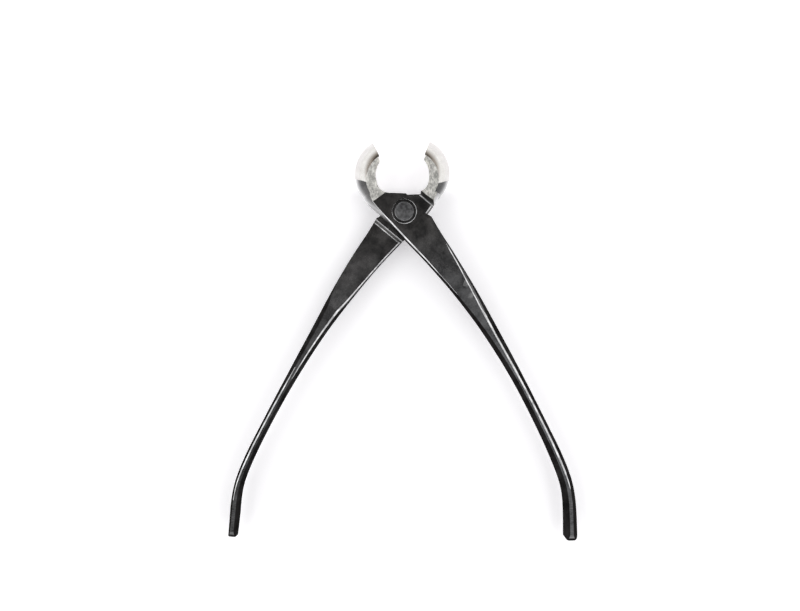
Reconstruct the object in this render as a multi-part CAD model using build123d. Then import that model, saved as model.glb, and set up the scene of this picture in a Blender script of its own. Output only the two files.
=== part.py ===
from build123d import *
import math
import os

# Layout, seen from above: closed tool along +Y, pivot axis on Z, underside of the joint at Z = 0
# A half is drawn with the jaw on its left, with the plane between the two laps at Z = 0
open_angle = 23.2  # each half stands this far from its closed position
face_turn = 16.5  # the shoulder and the lap land lie at this angle to X
flare_turn = 12.5  # and the start of the ground side face at this one

# Joint
body_half = 6.2  # half the thickness of the joint
lap_gap = 0.10  # between the two lap faces
land_reach = 11.1  # lap land, from the pivot to its handle end
land_bevel = 1.5  # run of the bevel behind the land
land_step = 0.45  # how far the handle lies below the land
shoulder_reach = 11.2  # pivot to the foot of the jaw shoulder
shoulder_draft = 1.7  # the shoulder leans back this far over the jaw's half width
ramp_start = 27.5  # beyond this the handle grows into the other half's layer
ramp_end = 66.0  # the ramp ends here
ramp_drop = 7.5  # depth of the ramp's end beyond the lap plane
ramp_blend = 60.0  # radius of the curve into the ramp

# Rivet
shank_radius = 3.0
shank_clearance = 0.05  # radial, in the half that turns
head_radius = 4.45
head_height = 1.5
head_edge = 0.35  # chamfer round the head
seat_radius = 5.65  # counterbore round the head
seat_clearance = 0.10  # under the head of the half that turns

# Ball jaw
ball_x = 1.65  # centre of the ball, to the far side of the closing plane
ball_y = 18.9
rim_round = 9.5  # the rim is half an ellipse, this deep towards the centre
rim_half = 8.75  # and this high
jaw_half = 8.6  # half the width of the cutting edge
flare_start = 12.2  # pivot to the line where the ground side face begins
flare_end = 27.0  # pivot to where the jaw has its full width
edge_land = 0.25  # flat along the cutting edge
edge_gap = 0.10  # between the two edges when closed

# Hollow between the jaws
hollow_half = 5.5  # half width at the side faces
hollow_middle = 6.3  # half width at mid depth
hollow_angle = 47.0  # between the hollow and the closing plane at the edge
hollow_floor = 10.0  # pivot to the bottom of the hollow
hollow_turns = (0, 20, 40, 60, 75, 87)  # its levels, as angles round the rim's ellipse

# Head outline of one half: crotch edge, then the far flank down to the handle
crotch_near = (-3.7, 10.95)
crotch_far = (4.0, 7.3)
flank_low = (8.6, -4.45)
flank_heel = (11.2, -8.0)

# Head sections: distance up from the pivot, outer wall, and the two edges of the flat top
head_top = 7.6
head_stations = (
    (14.0, 11.5, -10.0, 10.9),
    (8.8, 11.1, -9.8, 10.4),
    (2.0, 10.6, -8.6, 9.8),
)

# Handle sections: distance down from the pivot, half depth, flat on top, and its offset
handle_stations = (
    (10.0, 7.5, 15.6, 0.3),
    (28.0, 7.2, 11.4, 0.0),
    (46.0, 5.75, 7.4, -0.3),
    (66.0, 5.05, 3.2, -0.4),
    (90.0, 4.75, 1.5, -0.1),
    (114.0, 4.75, 1.4, 0.0),
    (136.0, 5.05, 1.5, 0.0),
    (149.0, 5.3, 1.6, 0.0),
    (158.0, 5.4, 1.7, 0.0),
    (166.0, 5.4, 1.7, 0.0),
    (175.0, 5.4, 1.7, 0.0),
)
section_step = 7.0  # distance between the sections that are lofted

# The two halves: the jaw's turn past the handle's position, the ball's radius at mid depth, the inner
# walls of the head, the walls of the handle at each section, and the centre of its rounded end
front_sizes = {
    "jaw_turn": 1.2,
    "ball_reach": 17.0,
    "head_walls": (-14.9, -13.6, -10.5),
    "handle_walls": (
        (-5.8, 11.25),
        (0.9, 14.2),
        (6.6, 16.8),
        (11.4, 18.85),
        (15.25, 20.95),
        (17.15, 22.5),
        (17.6, 23.5),
        (16.5, 22.55),
        (13.5, 20.1),
        (10.2, 17.2),
        (6.5, 13.6),
    ),
    "end": 169.2,
}
rear_sizes = {
    "jaw_turn": -3.3,
    "ball_reach": 16.6,
    "head_walls": (-12.9, -11.8, -10.2),
    "handle_walls": (
        (-5.9, 11.2),
        (0.7, 14.25),
        (6.1, 16.6),
        (11.15, 18.3),
        (15.35, 20.4),
        (18.05, 22.35),
        (19.25, 23.7),
        (18.5, 23.05),
        (15.85, 20.9),
        (13.4, 18.2),
        (10.9, 15.2),
    ),
    "end": 168.4,
}
end_round = 3.3
end_side_round = 3.6  # the same end, seen from the side

reach = 60.0  # cutting bodies extend this far


def side_plane(turn):
    """Looks along a line at this angle: its own x runs from the pivot to the jaws, its own y is up."""
    along = (-math.sin(math.radians(turn)), math.cos(math.radians(turn)), 0)
    normal = (along[1], -along[0], 0)
    return Plane(origin=(0, 0, 0), x_dir=along, z_dir=normal)


def cross_section(y, inner, outer, flat_inner, flat_outer, top):
    """One slice of the forging: flat top and bottom, bowed walls."""
    plane = Plane(origin=(0, y, 0), x_dir=(1, 0, 0), z_dir=(0, -1, 0))
    inner_wall = ThreePointArc((flat_inner, -top), (inner, 0), (flat_inner, top))
    over = Line((flat_inner, top), (flat_outer, top))
    outer_wall = ThreePointArc((flat_outer, top), (outer, 0), (flat_outer, -top))
    under = Line((flat_outer, -top), (flat_inner, -top))
    return plane * make_face([inner_wall, over, outer_wall, under])


def section_rows(sizes):
    """Distance down, inner wall, outer wall, inner and outer edge of the flat, and half depth."""
    rows = []
    for (up, outer, flat_inner, flat_outer), inner in zip(head_stations, sizes["head_walls"]):
        rows.append((-up, inner, outer, flat_inner, flat_outer, head_top))
    for (down, depth, flat, offset), (inner, outer) in zip(handle_stations, sizes["handle_walls"]):
        middle = (inner + outer) / 2 + offset
        rows.append((down, inner, outer, middle - flat / 2, middle + flat / 2, depth))
    return rows


def slope_at(rows, index, column):
    """Slope of one column of sizes at one of its rows."""
    before = rows[max(index - 1, 0)]
    after = rows[min(index + 1, len(rows) - 1)]
    return (after[column] - before[column]) / (after[0] - before[0])


def sizes_at(rows, down):
    """The row of sizes at this distance, on smooth curves through the given rows."""
    index = max(k for k in range(len(rows) - 1) if rows[k][0] <= down)
    step = rows[index + 1][0] - rows[index][0]
    share = (down - rows[index][0]) / step
    blend = share * share * (3 - 2 * share)
    result = []
    for column in range(1, len(rows[0])):
        start = rows[index][column]
        rise = rows[index + 1][column] - start
        leave = slope_at(rows, index, column) * share * (1 - share) ** 2
        arrive = slope_at(rows, index + 1, column) * share**2 * (1 - share)
        result.append(start + rise * blend + step * (leave - arrive))
    return result


def blank(sizes):
    """The forging from the root of the jaw to the end of the handle, before the joint is cut."""
    rows = section_rows(sizes)
    first = rows[0][0]
    length = rows[-1][0] - first
    count = round(length / section_step)
    slices = []
    for number in range(count + 1):
        down = first + length * number / count
        slices.append(cross_section(-down, *sizes_at(rows, down)))
    return loft(slices)


def ball(ball_reach):
    """The round jaw before it is hollowed: a disc with a bulging rim."""
    centre = (ball_x, ball_y, 0)
    plane = Plane(origin=centre, x_dir=(1, 0, 0), z_dir=(0, -1, 0))
    rim = ball_reach - rim_round
    outline = [
        Line((0, -rim_half), (rim, -rim_half)),
        EllipticalCenterArc((rim, 0), rim_round, rim_half, -90, arc_size=180),
        Line((rim, rim_half), (0, rim_half)),
        Line((0, rim_half), (0, -rim_half)),
    ]
    return revolve(plane * make_face(outline), Axis(centre, (0, 0, 1)), 360)


def side_cut():
    """Takes the top down to the joint's thickness, and slopes up along the jaw's ground side face."""
    slope = (jaw_half - body_half) / (flare_end - flare_start)
    back = -handle_stations[-1][0] - reach
    outline = Polyline(
        (back, body_half),
        (flare_start, body_half),
        (flare_start + reach, body_half + slope * reach),
        (flare_start + reach, reach),
        (back, reach),
        close=True,
    )
    return extrude(side_plane(flare_turn) * make_face(outline), reach, both=True)


def lap_cut():
    """Everything that is milled from the half's underside: lap land, shoulder, bevel and ramp."""
    floor = lap_gap / 2
    back = shoulder_reach + shoulder_draft * (floor + reach) / (floor + jaw_half)
    relief = floor + land_step
    outline = Polyline(
        (back, -reach),
        (shoulder_reach, floor),
        (-land_reach, floor),
        (-land_reach - land_bevel, relief),
        (-ramp_start, relief),
        (-ramp_end, -ramp_drop),
        (-ramp_end, -reach),
        close=True,
    )
    face = make_face(outline)
    start = face.vertices().sort_by_distance((-ramp_start, relief))[0]
    face = fillet(start, ramp_blend)
    return extrude(side_plane(face_turn) * face, reach, both=True)


def edge_height(z, ball_reach):
    """Where the ball meets the closing plane at this depth."""
    radius = ball_reach - rim_round + rim_round * math.sqrt(1 - (z / rim_half) ** 2)
    return ball_y + math.sqrt(radius**2 - ball_x**2)


def hollow_slice(z, ball_reach):
    """One level of the hollow: two bowed flanks that meet in a point, and a round floor."""
    share = (z / jaw_half) ** 2
    half = hollow_middle + (hollow_half - hollow_middle) * share
    point = edge_height(z, ball_reach) - edge_land
    turn = math.radians(hollow_angle)
    bow = half / (1 - math.cos(turn))
    widest = point - bow * math.sin(turn)
    flank_x = half - bow * (1 - math.cos(turn / 2))
    flank_y = widest + bow * math.sin(turn / 2)
    left = ThreePointArc((0, point), (-flank_x, flank_y), (-half, widest))
    floor = ThreePointArc((-half, widest), (0, hollow_floor), (half, widest))
    right = ThreePointArc((half, widest), (flank_x, flank_y), (0, point))
    return Plane(origin=(0, 0, z), x_dir=(1, 0, 0), z_dir=(0, 0, 1)) * make_face([left, floor, right])


def hollow(ball_reach):
    """The space between the jaws, lofted over its levels."""
    upper = [rim_half * math.sin(math.radians(turn)) for turn in hollow_turns]
    lower = [-z for z in reversed(upper[1:])]
    return loft([hollow_slice(z, ball_reach) for z in lower + upper])


def far_side():
    """What lies beyond the closing plane."""
    return Pos(reach - edge_gap / 2, hollow_floor + reach, 0) * Box(2 * reach, 2 * reach, 2 * reach)


def crotch_cut():
    """Clears the crotch between the jaws and the far flank of the head."""
    outline = Polyline(
        crotch_near,
        crotch_far,
        flank_low,
        flank_heel,
        (reach, flank_heel[1]),
        (reach, ball_y),
        (-edge_gap / 2, ball_y),
        close=True,
    )
    return extrude(make_face(outline), reach, both=True)


def end_cut(sizes):
    """Rounds the end of the handle in plan and from the side."""
    end = sizes["end"]
    upper, lower = [station[0] for station in handle_stations[-2:]]
    upper_middle, lower_middle = [(inner + outer) / 2 for inner, outer in sizes["handle_walls"][-2:]]
    slope = (upper_middle - lower_middle) / (lower - upper)
    centre = (upper_middle - slope * (end - upper), -end, 0)
    plane = Plane(origin=centre, x_dir=(1, -slope, 0), z_dir=(0, 0, 1))
    beyond = Pos(0, -reach / 2, 0) * Box(reach, reach, reach)
    plan = beyond - Cylinder(end_round, reach)
    keep = Rectangle(2 * reach, 2 * handle_stations[-1][1])
    keep = fillet(keep.vertices(), end_side_round)
    looking_across = Plane(origin=(0, reach - end_round, 0), x_dir=(0, 1, 0), z_dir=(1, 0, 0))
    side = Pos(0, -reach / 2 + end_side_round - end_round, 0) * Box(reach, reach, reach)
    side -= extrude(looking_across * keep, reach, both=True)
    return plane * (plan + side)


def rivet_bore(radius, under_head):
    """Hole for the shank and the counterbore round the head, with this much room under the head."""
    seat = body_half - head_height - under_head
    return Cylinder(radius, 4 * body_half) + extrude(Plane.XY.offset(seat) * Circle(seat_radius), 2 * body_half)


def half(sizes):
    """One half in its closed position, upper layer."""
    ball_reach = sizes["ball_reach"]
    turned = Rotation(0, 0, sizes["jaw_turn"])
    body = turned * ball(ball_reach) + blank(sizes)
    body -= side_cut()
    body -= mirror(side_cut(), Plane.XY)
    body -= lap_cut()
    body -= turned * (far_side() + hollow(ball_reach))
    body -= crotch_cut()
    body -= end_cut(sizes)
    return body


def rivet():
    """Shank with a flat head at each end, the edges of the heads chamfered."""
    neck = body_half - head_height
    outline = Polyline(
        (0, 0),
        (shank_radius, 0),
        (shank_radius, neck),
        (head_radius, neck),
        (head_radius, body_half - head_edge),
        (head_radius - head_edge, body_half),
        (0, body_half),
        close=True,
    )
    upper = revolve(Plane.XZ * make_face(outline), Axis.Z, 360)
    return upper + mirror(upper, Plane.XY)


def main():
    os.makedirs("parts", exist_ok=True)
    front = half(front_sizes) - rivet_bore(shank_radius + shank_clearance, seat_clearance)
    rear = half(rear_sizes) - rivet_bore(shank_radius, 0)
    lift = Pos(0, 0, body_half)
    export_step(lift * Rotation(0, 0, open_angle) * front, "parts/front_half.step")
    export_step(lift * Rotation(0, 0, -open_angle) * Rotation(0, 180, 0) * rear, "parts/rear_half.step")
    export_step(lift * rivet(), "parts/pivot_rivet.step")


main()
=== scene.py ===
import math

import bmesh
import bpy
from mathutils import Matrix, Vector


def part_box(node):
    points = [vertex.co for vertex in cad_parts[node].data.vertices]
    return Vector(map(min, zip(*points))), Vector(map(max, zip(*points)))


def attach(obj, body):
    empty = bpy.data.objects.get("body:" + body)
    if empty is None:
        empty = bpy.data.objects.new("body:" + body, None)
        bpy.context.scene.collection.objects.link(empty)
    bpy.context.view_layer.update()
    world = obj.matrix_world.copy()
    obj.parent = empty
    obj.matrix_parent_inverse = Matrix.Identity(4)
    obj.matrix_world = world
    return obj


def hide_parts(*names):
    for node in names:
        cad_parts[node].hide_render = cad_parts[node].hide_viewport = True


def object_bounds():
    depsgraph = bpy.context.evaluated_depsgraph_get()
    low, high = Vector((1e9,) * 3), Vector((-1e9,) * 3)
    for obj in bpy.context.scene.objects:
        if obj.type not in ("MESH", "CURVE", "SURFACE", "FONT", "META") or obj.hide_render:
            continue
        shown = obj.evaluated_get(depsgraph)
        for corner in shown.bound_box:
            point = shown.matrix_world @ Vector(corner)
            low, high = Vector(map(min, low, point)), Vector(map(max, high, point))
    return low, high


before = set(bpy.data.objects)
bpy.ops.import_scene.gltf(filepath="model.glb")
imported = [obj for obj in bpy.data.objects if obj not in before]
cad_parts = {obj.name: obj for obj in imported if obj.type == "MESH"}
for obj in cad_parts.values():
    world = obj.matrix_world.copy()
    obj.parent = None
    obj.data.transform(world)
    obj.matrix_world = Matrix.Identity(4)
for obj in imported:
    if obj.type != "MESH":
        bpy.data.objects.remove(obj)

mm = 0.001
openAngle = 23.2  # degrees that each half is turned out from the closed tool
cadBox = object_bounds()
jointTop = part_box("pivot_rivet")[1].z
print("frame loaded")


# Camera, straight above the tool

camera = {
    "frameWidth": 800,  # pixels across the photograph
    "pixel": 0.4642 * mm,  # covered by one pixel on the top of the joint
    "aimX": -1.95 * mm,
    "aimY": -43.8 * mm,
    "distance": 450 * mm,  # above the top of the joint
    "nearest": 10 * mm,
    "farthest": 10,
}


def placeCamera(settings):
    data = bpy.data.cameras.new("camera")
    data.lens = data.sensor_width * settings["distance"] / (settings["frameWidth"] * settings["pixel"])
    data.clip_start = settings["nearest"]
    data.clip_end = settings["farthest"]
    thing = bpy.data.objects.new("camera", data)
    thing.location = (settings["aimX"], settings["aimY"], jointTop + settings["distance"])
    bpy.context.scene.collection.objects.link(thing)
    bpy.context.scene.camera = thing


placeCamera(camera)
print("camera placed")


# Node helpers

def newMaterial(name):
    material = bpy.data.materials.new(name)
    material.use_nodes = True
    tree = material.node_tree
    return material, tree, tree.nodes["Principled BSDF"]


def addNode(tree, kind, values=None, **properties):
    node = tree.nodes.new(kind)
    for key, value in properties.items():
        setattr(node, key, value)
    for key, value in (values or {}).items():
        node.inputs[key].default_value = value
    return node


def feed(tree, value, socket):
    if isinstance(value, tuple):
        socket.default_value = (*value, 1)
    elif isinstance(value, (int, float)):
        socket.default_value = value
    else:
        tree.links.new(value, socket)


def combine(tree, operation, one, two=0):
    node = addNode(tree, "ShaderNodeMath", operation=operation)
    feed(tree, one, node.inputs[0])
    feed(tree, two, node.inputs[1])
    return node.outputs[0]


def times(tree, *values):
    result = values[0]
    for value in values[1:]:
        result = combine(tree, "MULTIPLY", result, value)
    return result


def blend(tree, one, two, share):
    return combine(tree, "ADD", times(tree, one, share), times(tree, two, 1 - share))


def ramp(tree, value, fromLow, fromHigh, toLow=0.0, toHigh=1.0, smooth=False):
    node = addNode(tree, "ShaderNodeMapRange", interpolation_type="SMOOTHSTEP" if smooth else "LINEAR")
    node.inputs["From Min"].default_value = fromLow
    node.inputs["From Max"].default_value = fromHigh
    node.inputs["To Min"].default_value = toLow
    node.inputs["To Max"].default_value = toHigh
    tree.links.new(value, node.inputs["Value"])
    return node.outputs["Result"]


def noise(tree, place, size, detail=3.0, roughness=0.55, stretch=(1, 1, 1)):
    mapping = addNode(tree, "ShaderNodeMapping")
    mapping.inputs["Scale"].default_value = stretch
    tree.links.new(place, mapping.inputs["Vector"])
    node = addNode(tree, "ShaderNodeTexNoise", {"Scale": 1 / size, "Detail": detail, "Roughness": roughness})
    tree.links.new(mapping.outputs["Vector"], node.inputs["Vector"])
    return node.outputs["Fac"]


def mixColour(tree, share, dark, light):
    node = addNode(tree, "ShaderNodeMix", data_type="RGBA")
    sockets = {socket.identifier: socket for socket in [*node.inputs, *node.outputs]}
    feed(tree, share, sockets["Factor_Float"])
    feed(tree, dark, sockets["A_Color"])
    feed(tree, light, sockets["B_Color"])
    return sockets["Result_Color"]


def mixShader(tree, share, one, two):
    node = addNode(tree, "ShaderNodeMixShader")
    tree.links.new(share, node.inputs[0])
    tree.links.new(one.outputs[0], node.inputs[1])
    tree.links.new(two.outputs[0], node.inputs[2])
    return node


def bump(tree, shader, height, distance, strength=1.0):
    node = addNode(tree, "ShaderNodeBump", {"Strength": strength, "Distance": distance})
    tree.links.new(height, node.inputs["Height"])
    tree.links.new(node.outputs["Normal"], shader.inputs["Normal"])


def objectPlace(tree):
    return addNode(tree, "ShaderNodeTexCoord").outputs["Object"]


def split(tree, vector):
    node = addNode(tree, "ShaderNodeSeparateXYZ")
    tree.links.new(vector, node.inputs[0])
    return node.outputs


def show(tree, shader):
    tree.links.new(shader.outputs[0], tree.nodes["Material Output"].inputs["Surface"])


# Black lacquer of the handles and the joint

lacquer = {
    "dark": (0.003, 0.0027, 0.0026),
    "light": (0.025, 0.022, 0.0205),
    "blotch": 7 * mm,
    "grain": 0.5 * mm,
    "blotchShare": 0.66,  # the rest is grain
    "tone": (0.4, 0.62),  # the stretch of the pattern that runs from dark to light
    "gloss": (0.38, 0.64),  # and from smooth to rough
    "rough": (0.16, 0.26),
    "ior": 1.85,
    "shine": (0.34, 0.66),
    "relief": 0.012 * mm,
    "fadeStart": 0.25,  # how far the surface turns away before it lightens
    "fadeRough": 0.35,
    "fadePlace": (-8 * mm, -2 * mm),  # only the jaws are polished enough for it
    "fadeFoot": (-0.9, -0.65),  # and not their feet, which face the handles
    "steep": (0.92, 0.78),  # the handles' steep sides get painted shade, a matt black coat that stands in for their dark reflection
    "paintedSideShadeTurn": (0.06, 0.2),  # where they turn away from the eye
    "paintedSideShadeTone": (0.38, 0.62),
    "paintedSideShade": (0.006, 0.0055, 0.0055),
    "paintedSideShadeLight": (0.022, 0.021, 0.021),
    "paintedSheen": (0.1, 0.102, 0.108),  # painted sheen: the handles' tops are greyer towards the ends, the right one more, for the lamps' reflection on them
    "paintedSheenPlace": (-6 * mm, -62 * mm),
    "paintedSheenTone": (0.36, 0.6, 0.25, 1),
    "sheenAndScratchShare": (0.4, 1.0),  # left, right
    "middle": 5 * mm,  # half the width of the change from left to right
    "scratch": (0.13, 0.13, 0.134),  # fine marks across the ends
    "scratchPlace": (-131 * mm, -134 * mm),
    "scratchSize": 0.55 * mm,
    "scratchStretch": (0.25, 1.6, 1),
    "scratchTone": (0.45, 0.62),
}


def lacquerPlaces(tree, place, settings):
    where = split(tree, place)
    normal = split(tree, addNode(tree, "ShaderNodeNewGeometry").outputs["Normal"])
    steep = ramp(tree, combine(tree, "ABSOLUTE", normal["Z"]), *settings["steep"])
    jaws = ramp(tree, where["Y"], *settings["fadePlace"])
    polished = times(tree, jaws, ramp(tree, normal["Y"], *settings["fadeFoot"]))
    # painted shade goes on the steep sides, but not on the polished jaws
    paintedSideShadeShare = times(tree, steep, combine(tree, "SUBTRACT", 1, polished))
    return where, polished, paintedSideShadeShare


def lacquerColour(tree, place, where, pattern, settings):
    colour = mixColour(tree, ramp(tree, pattern, *settings["tone"]), settings["dark"], settings["light"])
    side = ramp(tree, where["X"], -settings["middle"], settings["middle"], *settings["sheenAndScratchShare"])
    low = ramp(tree, where["Y"], *settings["paintedSheenPlace"])
    # painted sheen: the tops lighten towards the ends, more on the right handle
    paintedSheen = times(tree, low, side, ramp(tree, pattern, *settings["paintedSheenTone"]))
    colour = mixColour(tree, paintedSheen, colour, settings["paintedSheen"])
    stretch = settings["scratchStretch"]
    marks = noise(tree, place, settings["scratchSize"], detail=2, roughness=0.5, stretch=stretch)
    end = ramp(tree, where["Y"], *settings["scratchPlace"])
    scratches = times(tree, end, side, ramp(tree, marks, *settings["scratchTone"]))
    return mixColour(tree, scratches, colour, settings["scratch"])


def lacquerOver(tree, shader, place, settings):
    where, polished, paintedSideShadeShare = lacquerPlaces(tree, place, settings)
    blotch = noise(tree, place, settings["blotch"], detail=4, roughness=0.62)
    grain = noise(tree, place, settings["grain"], detail=3, roughness=0.6)
    pattern = blend(tree, blotch, grain, settings["blotchShare"])
    feed(tree, lacquerColour(tree, place, where, pattern, settings), shader.inputs["Base Color"])
    feed(tree, ramp(tree, pattern, *settings["gloss"], *settings["rough"]), shader.inputs["Roughness"])
    shine = ramp(tree, pattern, *settings["gloss"], *settings["shine"])
    feed(tree, shine, shader.inputs["Specular IOR Level"])
    shader.inputs["IOR"].default_value = settings["ior"]
    bump(tree, shader, pattern, settings["relief"])
    facing = addNode(tree, "ShaderNodeLayerWeight", {"Blend": 0.5}).outputs["Facing"]
    turned = ramp(tree, facing, settings["fadeStart"], 1, smooth=True)
    white = (1, 1, 1, 1)
    gloss = addNode(tree, "ShaderNodeBsdfGlossy", {"Color": white, "Roughness": settings["fadeRough"]})
    faded = mixShader(tree, times(tree, turned, polished), shader, gloss)
    # painted shade: a matt black coat on the steep sides where they turn from the eye
    paintedSideShade = addNode(tree, "ShaderNodeBsdfDiffuse")
    paintedSideShadeMix = ramp(tree, pattern, *settings["paintedSideShadeTone"])
    feed(tree, mixColour(tree, paintedSideShadeMix, settings["paintedSideShade"], settings["paintedSideShadeLight"]), paintedSideShade.inputs["Color"])
    return mixShader(tree, times(tree, paintedSideShadeShare, ramp(tree, facing, *settings["paintedSideShadeTurn"])), faded, paintedSideShade)


def blackSteel(settings):
    material, tree, shader = newMaterial("blackSteel")
    show(tree, lacquerOver(tree, shader, objectPlace(tree), settings))
    return material


# Ground faces beside the cutting edges

grind = {
    "dark": (0.34, 0.335, 0.315),
    "light": (0.9, 0.885, 0.84),
    "metal": 0.6,
    "grain": 0.5 * mm,
    "grainStretch": (1, 0.4, 1),
    "cloud": 3 * mm,
    "cloudShare": 0.4,
    "tone": (0.42, 0.59),
    "gloss": (0.3, 0.7),
    "rough": (0.34, 0.5),
    "relief": 0.03 * mm,
    "reliefStrength": 0.7,
}


def groundSteel(settings):
    material, tree, shader = newMaterial("groundSteel")
    place = objectPlace(tree)
    grain = noise(tree, place, settings["grain"], detail=5, roughness=0.72, stretch=settings["grainStretch"])
    cloud = noise(tree, place, settings["cloud"], detail=3, roughness=0.6)
    share = ramp(tree, blend(tree, cloud, grain, settings["cloudShare"]), *settings["tone"])
    feed(tree, mixColour(tree, share, settings["dark"], settings["light"]), shader.inputs["Base Color"])
    feed(tree, ramp(tree, grain, *settings["gloss"], *settings["rough"]), shader.inputs["Roughness"])
    shader.inputs["Metallic"].default_value = settings["metal"]
    bump(tree, shader, grain, settings["relief"], settings["reliefStrength"])
    return material


# Bare polished balls of the jaws, with a brown band of painted shade beside the ground faces, for the dark
# reflection in the steep steel next to them

jawFinish = {
    "outer": 14.2 * mm,  # on the closed tool the bare steel ends on a line through this place
    "height": 22.3 * mm,
    "slope": 0.906,  # of that line
    "ragged": 0.5 * mm,  # how far the line wanders
    "raggedSize": 2 * mm,
    "soft": 0.15 * mm,  # half the width of the change
    "middle": 6.2 * mm,
    "paintedShadeStart": 7.3 * mm,  # painted shade above the middle, darker towards the ground side
    "paintedShadeEnd": 8.7 * mm,
    "steel": (0.58, 0.565, 0.545),
    "steelLight": (0.66, 0.65, 0.63),
    "paintedShadeBand": (0.17, 0.14, 0.11),
    "cloud": 3 * mm,
    "tone": (0.3, 0.7),
    "rough": (0.16, 0.24),
}


def bareShare(tree, place, where, settings):
    turn = math.radians(openAngle)
    cosine, sine = math.cos(turn), math.sin(turn)
    across = combine(tree, "ABSOLUTE", where["X"])
    outX = combine(tree, "SUBTRACT", times(tree, across, cosine), times(tree, where["Y"], sine))
    upY = combine(tree, "ADD", times(tree, across, sine), times(tree, where["Y"], cosine))
    above = combine(tree, "SUBTRACT", upY, settings["height"])
    beyond = combine(tree, "SUBTRACT", outX, settings["outer"])
    line = combine(tree, "SUBTRACT", above, times(tree, beyond, settings["slope"]))
    wander = combine(tree, "SUBTRACT", noise(tree, place, settings["raggedSize"]), 0.5)
    line = combine(tree, "ADD", line, times(tree, wander, settings["ragged"]))
    return ramp(tree, line, -settings["soft"], settings["soft"])


def jawSteel(settings, lacquerSettings):
    material, tree, steel = newMaterial("jawSteel")
    place = objectPlace(tree)
    where = split(tree, place)
    height = combine(tree, "ABSOLUTE", combine(tree, "SUBTRACT", where["Z"], settings["middle"]))
    # painted shade: a brown band beside the ground faces
    paintedShadeBand = ramp(tree, height, settings["paintedShadeStart"], settings["paintedShadeEnd"], smooth=True)
    cloud = noise(tree, place, settings["cloud"], detail=3, roughness=0.6)
    colour = mixColour(tree, ramp(tree, cloud, *settings["tone"]), settings["steel"], settings["steelLight"])
    feed(tree, mixColour(tree, paintedShadeBand, colour, settings["paintedShadeBand"]), steel.inputs["Base Color"])
    feed(tree, ramp(tree, cloud, *settings["tone"], *settings["rough"]), steel.inputs["Roughness"])
    steel.inputs["Metallic"].default_value = 1.0
    black = lacquerOver(tree, addNode(tree, "ShaderNodeBsdfPrincipled"), place, lacquerSettings)
    show(tree, mixShader(tree, bareShare(tree, place, where, settings), black, steel))
    return material


# Bright facets where the lacquer has worn off the edges, also painted highlight that stands in for the
# lamps' reflections along them

wearAndHighlight = {
    "dark": (0.42, 0.42, 0.43),
    "light": (0.84, 0.84, 0.85),
    "patch": 4 * mm,
    "tone": (0.35, 0.6),
    "metal": 0.6,
    "gloss": (0.3, 0.7),
    "rough": (0.36, 0.44),
}


def wornEdgeAndHighlight(settings):
    material, tree, shader = newMaterial("wornEdgeAndHighlight")
    patch = noise(tree, objectPlace(tree), settings["patch"], detail=4, roughness=0.6)
    colour = mixColour(tree, ramp(tree, patch, *settings["tone"]), settings["dark"], settings["light"])
    feed(tree, colour, shader.inputs["Base Color"])
    feed(tree, ramp(tree, patch, *settings["gloss"], *settings["rough"]), shader.inputs["Roughness"])
    shader.inputs["Metallic"].default_value = settings["metal"]
    return material


# Rivet, dull in the middle and brighter round the rim, where wear and painted glints mix

rivetLook = {
    "dark": (0.1, 0.1, 0.104),
    "light": (0.26, 0.26, 0.265),
    "tone": (0.35, 0.65),
    "rim": 4.1 * mm,  # the edge beyond is worn bright and painted with glints
    "rimSoft": 0.1 * mm,
    "bright": (0.5, 0.5, 0.51),
    "wornHighlightSize": 3 * mm,
    "wornHighlightTone": (0.45, 0.62),
    "cloud": 2 * mm,
    "gloss": (0.3, 0.7),
    "rough": (0.3, 0.42),
    "relief": 0.03 * mm,
    "reliefStrength": 0.4,
}


def rivetSteel(settings):
    material, tree, shader = newMaterial("rivetSteel")
    place = objectPlace(tree)
    cloud = noise(tree, place, settings["cloud"], detail=4, roughness=0.6)
    flat = addNode(tree, "ShaderNodeVectorMath", {1: (1, 1, 0)}, operation="MULTIPLY")
    tree.links.new(place, flat.inputs[0])
    away = addNode(tree, "ShaderNodeVectorMath", operation="LENGTH")
    tree.links.new(flat.outputs[0], away.inputs[0])
    rim = ramp(tree, away.outputs["Value"], settings["rim"], settings["rim"] + settings["rimSoft"])
    # painted glints mixed with wear round the rim
    wornAndHighlight = times(tree, rim, ramp(tree, noise(tree, place, settings["wornHighlightSize"]), *settings["wornHighlightTone"]))
    colour = mixColour(tree, ramp(tree, cloud, *settings["tone"]), settings["dark"], settings["light"])
    feed(tree, mixColour(tree, wornAndHighlight, colour, settings["bright"]), shader.inputs["Base Color"])
    feed(tree, ramp(tree, cloud, *settings["gloss"], *settings["rough"]), shader.inputs["Roughness"])
    shader.inputs["Metallic"].default_value = 1.0
    bump(tree, shader, cloud, settings["relief"], settings["reliefStrength"])
    return material


def dressRivet(settings):
    material = rivetSteel(settings)
    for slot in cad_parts["pivot_rivet"].material_slots:
        slot.material = material


finishes = {
    "black": blackSteel(lacquer),
    "ground": groundSteel(grind),
    "bare": jawSteel(jawFinish, lacquer),
    "wornAndHighlight": wornEdgeAndHighlight(wearAndHighlight),
}
dressRivet(rivetLook)
print("finishes made, rivet dressed")


# Halves

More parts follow.
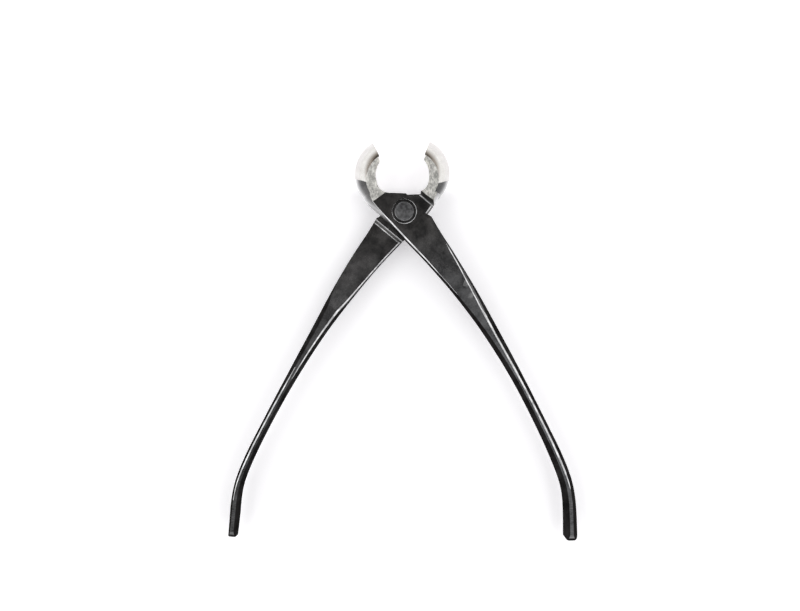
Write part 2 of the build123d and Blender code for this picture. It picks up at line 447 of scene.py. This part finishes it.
jaw = {
    "ballX": 1.65 * mm,  # axis of the ball jaw in the closed position
    "ballY": 18.9 * mm,
    "root": 9.0 * mm,  # the jaw begins here
    "flat": 0.999,  # a face this level is part of the joint
    "side": 0.97,  # and this level, part of the ground side
}
meshRules = {
    "merge": 0.001 * mm,  # points closer than this become one
    "spacing": 0.25 * mm,  # least distance between two rings of a cutter
    "planeNormals": 0.9999,  # how alike the faces of a plane point
    "speck": 1e-10,  # smaller faces say nothing about a plane
    "edgeAngle": 0.2,  # an edge to be cut turns at least this much, in radians
    "topLevel": 0.93,  # and has a top this level
    "wallHeading": 0.2,  # and a wall that faces about where its entry says
    "planeSharp": 3,  # degrees from which an edge beside a plane or a facet is sharp
    "curvedSharp": 18,  # the same between two curved faces
    "softSharp": 30,  # and between a curved top and a facet that runs on from it
    "softLevel": 0.94,  # where both are this level
}


def closedPlace(point, turn, side):
    x = point.x * math.cos(turn) + point.y * math.sin(turn)
    y = point.y * math.cos(turn) - point.x * math.sin(turn)
    return Vector((x * side, y))


def markIslands(mesh):
    layer = mesh.faces.layers.int.new("island")
    islands = []
    for seed in mesh.faces:
        if seed[layer]:
            continue
        group = [seed]
        seed[layer] = len(islands) + 1
        for face in group:
            for vertex in face.verts:
                for other in vertex.link_faces:
                    if not other[layer]:
                        other[layer] = seed[layer]
                        group.append(other)
        islands.append(group)
    return islands


def isPlane(group):
    first = max(group, key=lambda face: face.calc_area()).normal
    large = [face for face in group if face.calc_area() > meshRules["speck"]]
    return all(face.normal.dot(first) > meshRules["planeNormals"] for face in large)


def finishOf(group, turn, side, settings):
    area = sum(face.calc_area() for face in group)
    normal = sum((face.normal * face.calc_area() for face in group), Vector()) / area
    middle = sum((face.calc_center_median() * face.calc_area() for face in group), Vector()) / area
    place = closedPlace(middle, turn, side)
    if place.y < settings["root"]:
        return "black"
    if isPlane(group):
        level = settings["side"] < abs(normal.z) < settings["flat"]
        return "ground" if level or place.y > settings["ballY"] else "black"
    inward = Vector((settings["ballX"], settings["ballY"])) - place
    heading = closedPlace(normal, turn, side)
    return "ground" if heading.dot(inward) > 0 else "bare"


# Cutters that take off or fill the edges

sharpMark = 900  # a cut that meets its neighbours at a clear edge
softMark = 901  # a cut that runs on smoothly from a curved top


def rowsOf(*rows):
    return [tuple(value * mm for value in row) for row in rows]


def readRows(rows, y):
    if y >= rows[0][0]:
        return rows[0][1:]
    for above, below in zip(rows, rows[1:]):
        if y >= below[0]:
            share = (above[0] - y) / (above[0] - below[0])
            return [one + (two - one) * share for one, two in zip(above[1:], below[1:])]
    return rows[-1][1:]


def foundEdge(edge, turn, side, settings):
    if len(edge.link_faces) != 2 or edge.calc_face_angle(0) < meshRules["edgeAngle"]:
        return None
    low, high = settings["rows"][-1][0], settings["rows"][0][0]
    middle = (edge.verts[0].co + edge.verts[1].co) / 2
    if not low <= closedPlace(middle, turn, side).y <= high or middle.xy.length < settings["clear"]:
        return None
    if not settings["heights"][0] <= middle.z <= settings["heights"][1]:
        return None
    top, wall = sorted(edge.link_faces, key=lambda face: -face.normal.z)
    if top.normal.z < meshRules["topLevel"] or not settings["least"] <= wall.normal.z <= settings["most"]:
        return None
    heading = closedPlace(wall.normal, turn, side).dot(Vector(settings["heading"]))
    return None if heading < meshRules["wallHeading"] else (edge, top, wall)


def edgeChain(mesh, turn, side, settings):
    found = {}
    for edge in mesh.edges:
        entry = foundEdge(edge, turn, side, settings)
        if entry:
            for vertex in edge.verts:
                found.setdefault(vertex, []).append(entry)
    chains = []
    left = set(found)
    while left:
        starts = [vertex for vertex in left if len(found[vertex]) == 1] or list(left)
        vertex = max(starts, key=lambda one: (one.co.y, one.co.x))
        chain = []
        while vertex in left:
            left.remove(vertex)
            chain.append(vertex)
            ways = [entry[0].other_vert(vertex) for entry in found[vertex]]
            vertex = next((way for way in ways if way in left), vertex)
        chains.append(chain)
    points = []
    for vertex in max(chains, key=lambda chain: (chain[0].co - chain[-1].co).length):
        up = sum((entry[1].normal for entry in found[vertex]), Vector()).normalized()
        out = sum((entry[2].normal for entry in found[vertex]), Vector()).normalized()
        points.append((vertex.co.copy(), up, out, closedPlace(vertex.co, turn, side).y))
    if points[0][3] < points[-1][3]:
        points.reverse()
    return points


def edgeRing(point, along, settings):
    place, up, out, y = point
    sign = -1 if settings["added"] else 1
    inward = up.cross(along).normalized()
    inward = -inward if inward.dot(out) * sign > 0 else inward
    down = out.cross(along).normalized()
    down = -down if down.dot(up) * sign > 0 else down
    onTop, onWall = readRows(settings["rows"], y)
    corner = place + (up + out).normalized() * settings["outside"] * sign
    return [place + inward * onTop, place + down * onWall, corner]


def edgeStrip(points, settings):
    cutter = bmesh.new()
    layer = cutter.faces.layers.int.new("island")
    rings = []
    kept = [points[0]]
    for point in points[1:]:
        if (point[0] - kept[-1][0]).length > meshRules["spacing"]:
            kept.append(point)
    for index, point in enumerate(kept):
        along = kept[min(index + 1, len(kept) - 1)][0] - kept[max(index - 1, 0)][0]
        along.normalize()
        ring = edgeRing(point, along, settings)
        if index in (0, len(kept) - 1):
            reach = along * (settings["beyond"] if index else -settings["beyond"])
            ring = [corner + reach for corner in ring]
        rings.append([cutter.verts.new(corner) for corner in ring])
    for one, two in zip(rings, rings[1:]):
        for step in range(len(one)):
            following = (step + 1) % len(one)
            cutter.faces.new((one[step], one[following], two[following], two[step]))
    cutter.faces.new(rings[0])
    cutter.faces.new(list(reversed(rings[-1])))
    bmesh.ops.recalc_face_normals(cutter, faces=cutter.faces)
    finishCutter(cutter, layer, settings["finish"], settings["mark"])
    return cutter


def ringCutter(settings):
    cutter = bmesh.new()
    layer = cutter.faces.layers.int.new("island")
    place = Matrix.Translation((settings["aside"], -settings["aside"], settings["level"]))
    outer = settings["radius"] + 2 * settings["size"]
    bmesh.ops.create_cone(
        cutter, cap_ends=True, segments=settings["segments"], radius1=settings["radius"], radius2=outer,
        depth=2 * settings["depth"], matrix=place)
    finishCutter(cutter, layer, settings["finish"], sharpMark)
    return cutter


def finishCutter(cutter, layer, finish, mark):
    for face in cutter.faces:
        face.smooth = True
        face.material_index = list(finishes).index(finish)
        face[layer] = mark


def mergeClose(mesh):
    bmesh.ops.remove_doubles(mesh, verts=mesh.verts, dist=meshRules["merge"])
    bmesh.ops.dissolve_degenerate(mesh, edges=mesh.edges, dist=meshRules["merge"])


def cutAway(piece, cutter, operation):
    data = bpy.data.meshes.new("cutter")
    cutter.to_mesh(data)
    cutter.free()
    tool = bpy.data.objects.new("cutter", data)
    bpy.context.scene.collection.objects.link(tool)
    modifier = piece.modifiers.new("cut", "BOOLEAN")
    modifier.operation = operation
    modifier.solver = "EXACT"
    modifier.object = tool
    bpy.context.view_layer.update()
    result = bpy.data.meshes.new_from_object(piece.evaluated_get(bpy.context.evaluated_depsgraph_get()))
    piece.modifiers.clear()
    bpy.data.objects.remove(tool)
    mesh = bmesh.new()
    mesh.from_mesh(result)
    mergeClose(mesh)
    bmesh.ops.triangulate(mesh, faces=mesh.faces)
    mesh.to_mesh(result)
    mesh.free()
    piece.data = result


def sharpFrom(one, two, marks, planes):
    plane = bool(marks & planes)
    if softMark in marks:
        level = min(abs(one.normal.z), abs(two.normal.z)) > meshRules["softLevel"]
        return meshRules["softSharp"] if level and not plane else meshRules["planeSharp"]
    return meshRules["planeSharp"] if plane or sharpMark in marks else meshRules["curvedSharp"]


def markEdges(mesh, planes):
    layer = mesh.faces.layers.int["island"]
    for edge in mesh.edges:
        if len(edge.link_faces) != 2:
            continue
        one, two = edge.link_faces
        angle = math.degrees(edge.calc_face_angle(0))
        marks = {one[layer], two[layer]}
        edge.smooth = len(marks) == 1 or angle < sharpFrom(one, two, marks, planes)


def dressHalf(node, name, body, side, settings, edges):
    turn = math.radians(openAngle) * side
    mesh = bmesh.new()
    mesh.from_mesh(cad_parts[node].data)
    mesh.normal_update()
    planes = set()
    for number, group in enumerate(markIslands(mesh), 1):
        finish = finishOf(group, turn, side, settings)
        plane = isPlane(group)
        if plane:
            planes.add(number)
        for face in group:
            face.material_index = list(finishes).index(finish)
            face.smooth = not plane
    mergeClose(mesh)
    mesh.normal_update()
    cutters = []
    for edge in edges:
        if "radius" in edge:
            cutters.append((ringCutter(edge), "DIFFERENCE"))
            continue
        filled = {**edgeDefaults, **edge}
        points = edgeChain(mesh, turn, side, filled)
        first, last = round(points[0][3] / mm, 1), round(points[-1][3] / mm, 1)
        print(name, "edge of", len(points), "points, y", first, "to", last)
        cutters.append((edgeStrip(points, filled), "UNION" if filled["added"] else "DIFFERENCE"))
    data = bpy.data.meshes.new(name)
    mesh.to_mesh(data)
    mesh.free()
    piece = bpy.data.objects.new(name, data)
    bpy.context.scene.collection.objects.link(piece)
    for material in finishes.values():
        data.materials.append(material)
    for cutter, operation in cutters:
        cutAway(piece, cutter, operation)
    mesh = bmesh.new()
    mesh.from_mesh(piece.data)
    mesh.normal_update()
    markEdges(mesh, planes)
    openEdges = sum(1 for edge in mesh.edges if len(edge.link_faces) != 2)
    print(name, len(mesh.faces), "faces", openEdges, "open edges")
    mesh.to_mesh(piece.data)
    mesh.free()
    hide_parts(node)
    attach(piece, body)


# Edges to be cut, in the order in which they are cut
# A row gives a place along the closed tool and the cut's width there on the top and on the wall, in mm

edgeDefaults = {
    "heading": (-1, 0),  # where the wall faces, with the tool closed
    "least": -0.5,  # how level the wall may be
    "most": 0.85,
    "heights": (10 * mm, 13 * mm),
    "clear": 6.5 * mm,  # from the pivot
    "outside": 0.8 * mm,  # how far a cutter stands out from the edge
    "beyond": 0.3 * mm,  # and past the ends of the chain
    # worn steel, whose brightness is also painted highlight
    "finish": "wornAndHighlight",
    "mark": sharpMark,
    "added": False,  # True fills a corner
}
frontEdges = [
    {  # the head's far side and the handle's inner side
        "rows": rowsOf(
            (9.6, 0.08, 0.08), (6, 0.1, 0.1), (2, 0.25, 0.2), (-2, 0.52, 0.4),
            (-20, 0.52, 0.4), (-28, 0.35, 0.25), (-34, 0.08, 0.08), (-46, 0.08, 0.08)),
    },
    {  # the handle's outer side, black where it turns over
        "heading": (1, 0), "finish": "black",
        "rows": rowsOf((-16, 0.1, 0.1), (-22, 0.8, 0.7), (-55, 0.8, 0.7), (-64, 0.08, 0.08)),
    },
    {  # and its worn line, bright as painted highlight
        "heading": (1, 0), "mark": softMark,
        "rows": rowsOf(
            (-17, 0.12, 0.08), (-24, 0.95, 0.5), (-55, 0.95, 0.5), (-66, 0.5, 0.35),
            (-80, 0.55, 0.45), (-138, 0.55, 0.45), (-150, 0.1, 0.1)),
    },
    {  # rim of the rivet's seat, a worn line bright as painted highlight
        "radius": 5.65 * mm, "level": 12.4 * mm, "size": 0.09 * mm, "aside": 0.07 * mm, "depth": 0.05 * mm,
        "segments": 84, "finish": "wornAndHighlight",
    },
]
rearEdges = [
    {  # the handle's outer side
        "heading": (1, 0), "heights": (5 * mm, 12 * mm),
        "rows": rowsOf((-87, 0.1, 0.09), (-98, 0.45, 0.35), (-138, 0.45, 0.35), (-155, 0.12, 0.12)),
    },
    {  # the joint's flank below the jaw, black where it turns over
        "heights": (5.9 * mm, 6.3 * mm), "finish": "black",
        "rows": rowsOf((9.6, 0.97, 1.13), (-8, 0.97, 1.13)),
    },
    {  # and its worn line, bright as painted highlight
        "heights": (5.9 * mm, 6.3 * mm),
        "rows": rowsOf((9.6, 1.3, 0.48), (-8, 1.3, 0.48)),
    },
    {  # foot of the shoulder
        "heading": (0.28, -0.94), "heights": (5.9 * mm, 6.3 * mm),
        "added": True, "beyond": -0.2 * mm, "outside": 0.3 * mm,
        "rows": rowsOf((13, 0.5, 0.2), (5, 0.5, 0.2)),
    },
    {  # upper edge of the step behind the joint
        "heading": (0, -1), "heights": (6 * mm, 6.3 * mm), "least": 0.93, "most": 0.97, "outside": 0.2 * mm,
        "rows": rowsOf((-4, 0.22, 0.2), (-20, 0.22, 0.2)),
    },
    {  # its lower edge
        "heading": (0, -1), "heights": (5.6 * mm, 5.85 * mm), "least": 0.93, "most": 0.97,
        "added": True, "beyond": -0.2 * mm, "outside": 0.2 * mm,
        "rows": rowsOf((-4, 0.22, 0.2), (-20, 0.22, 0.2)),
    },
    {  # the handle's inner side, black where it turns over
        "heading": (-1, 0), "heights": (5 * mm, 12 * mm), "finish": "black",
        "rows": rowsOf((-14, 0.9, 0.8), (-42, 0.8, 0.7), (-68, 0.1, 0.1)),
    },
    {  # and its worn line, bright as painted highlight
        "heading": (-1, 0), "heights": (5 * mm, 12 * mm),
        "rows": rowsOf(
            (-14, 1.15, 0.5), (-42, 1.02, 0.45), (-68, 0.45, 0.3), (-84, 0.36, 0.26), (-92, 0.1, 0.09)),
    },
]
# 1 for the half turned anticlockwise from the closed tool, -1 for the other
dressHalf("front_half", "frontForging", "front", 1, jaw, frontEdges)
dressHalf("rear_half", "rearForging", "rear", -1, jaw, rearEdges)
print("halves dressed")


# Floor and lights

studio = {
    "floorSize": 3.0,
    "floorColour": 0.95,
    "floorGlow": (0.27, 0.43),  # added where the camera sees the floor, at the handles and at the jaws; the extra at the jaws is painted light that lifts the shade between them
    "glowPlace": (8 * mm, 14 * mm),
    # lavender, which tints the floor's shadows
    "glowColour": (0.97, 0.94, 1.0, 1),
    "zenith": 0.16,  # brightness straight above
    "wall": 1.35,  # brightness of the walls
    "zenithEnd": 0.88,  # where the dark part of the ceiling ends, as the cosine from straight up
    "wallStart": 0.68,
    "aim": (0, -0.06, 0),  # the lamps point here
}
lamps = {  # place, width, length and brightness
    "leftLamp": ((-0.42, -0.06, 0.75), 0.1, 0.9, 2),
    "rightLamp": ((0.42, -0.06, 0.75), 0.1, 0.9, 2),
    "keyLamp": ((0.29, 0.04, 0.9), 0.25, 0.3, 1.6),
}


def layFloor(settings):
    half = settings["floorSize"] / 2
    low = cadBox[0][2]
    data = bpy.data.meshes.new("floor")
    corners = [(-half, -half, low), (half, -half, low), (half, half, low), (-half, half, low)]
    data.from_pydata(corners, [], [(0, 1, 2, 3)])
    thing = bpy.data.objects.new("floor", data)
    bpy.context.scene.collection.objects.link(thing)
    material, tree, shader = newMaterial("paper")
    shader.inputs["Base Color"].default_value = (*[settings["floorColour"]] * 3, 1)
    shader.inputs["Roughness"].default_value = 1.0
    shader.inputs["Specular IOR Level"].default_value = 0.0
    glow = addNode(tree, "ShaderNodeEmission", {"Color": settings["glowColour"]})
    path = addNode(tree, "ShaderNodeLightPath").outputs
    seen = combine(tree, "MAXIMUM", path["Is Camera Ray"], path["Is Glossy Ray"])
    seen = combine(tree, "MAXIMUM", seen, path["Is Transmission Ray"])
    where = split(tree, objectPlace(tree))
    # painted light: more glow at the jaws, to lift the shade between them
    share = ramp(tree, where["Y"], *settings["glowPlace"], *settings["floorGlow"], True)
    feed(tree, times(tree, seen, share), glow.inputs["Strength"])
    both = addNode(tree, "ShaderNodeAddShader")
    tree.links.new(shader.outputs[0], both.inputs[0])
    tree.links.new(glow.outputs[0], both.inputs[1])
    show(tree, both)
    data.materials.append(material)


def paintWorld(settings):
    thing = bpy.data.worlds.new("studio")
    bpy.context.scene.world = thing
    thing.use_nodes = True
    tree = thing.node_tree
    heading = split(tree, addNode(tree, "ShaderNodeTexCoord").outputs["Generated"])
    ends = settings["wallStart"], settings["zenithEnd"]
    level = ramp(tree, heading["Z"], *ends, settings["wall"], settings["zenith"], True)
    background = tree.nodes["Background"]
    background.inputs["Color"].default_value = (1, 1, 1, 1)
    feed(tree, level, background.inputs["Strength"])


def hangLamp(name, aim, place, width, length, radiance):
    data = bpy.data.lights.new(name, "AREA")
    data.shape = "RECTANGLE"
    data.size = length
    data.size_y = width
    data.energy = radiance * math.pi * width * length
    thing = bpy.data.objects.new(name, data)
    thing.location = place
    direction = Vector(aim) - Vector(place)
    thing.rotation_euler = direction.to_track_quat("-Z", "Y").to_euler()
    bpy.context.scene.collection.objects.link(thing)


layFloor(studio)
paintWorld(studio)
for name, entry in lamps.items():
    hangLamp(name, studio["aim"], *entry)
bpy.context.scene.view_settings.view_transform = "Standard"
print("studio lit")
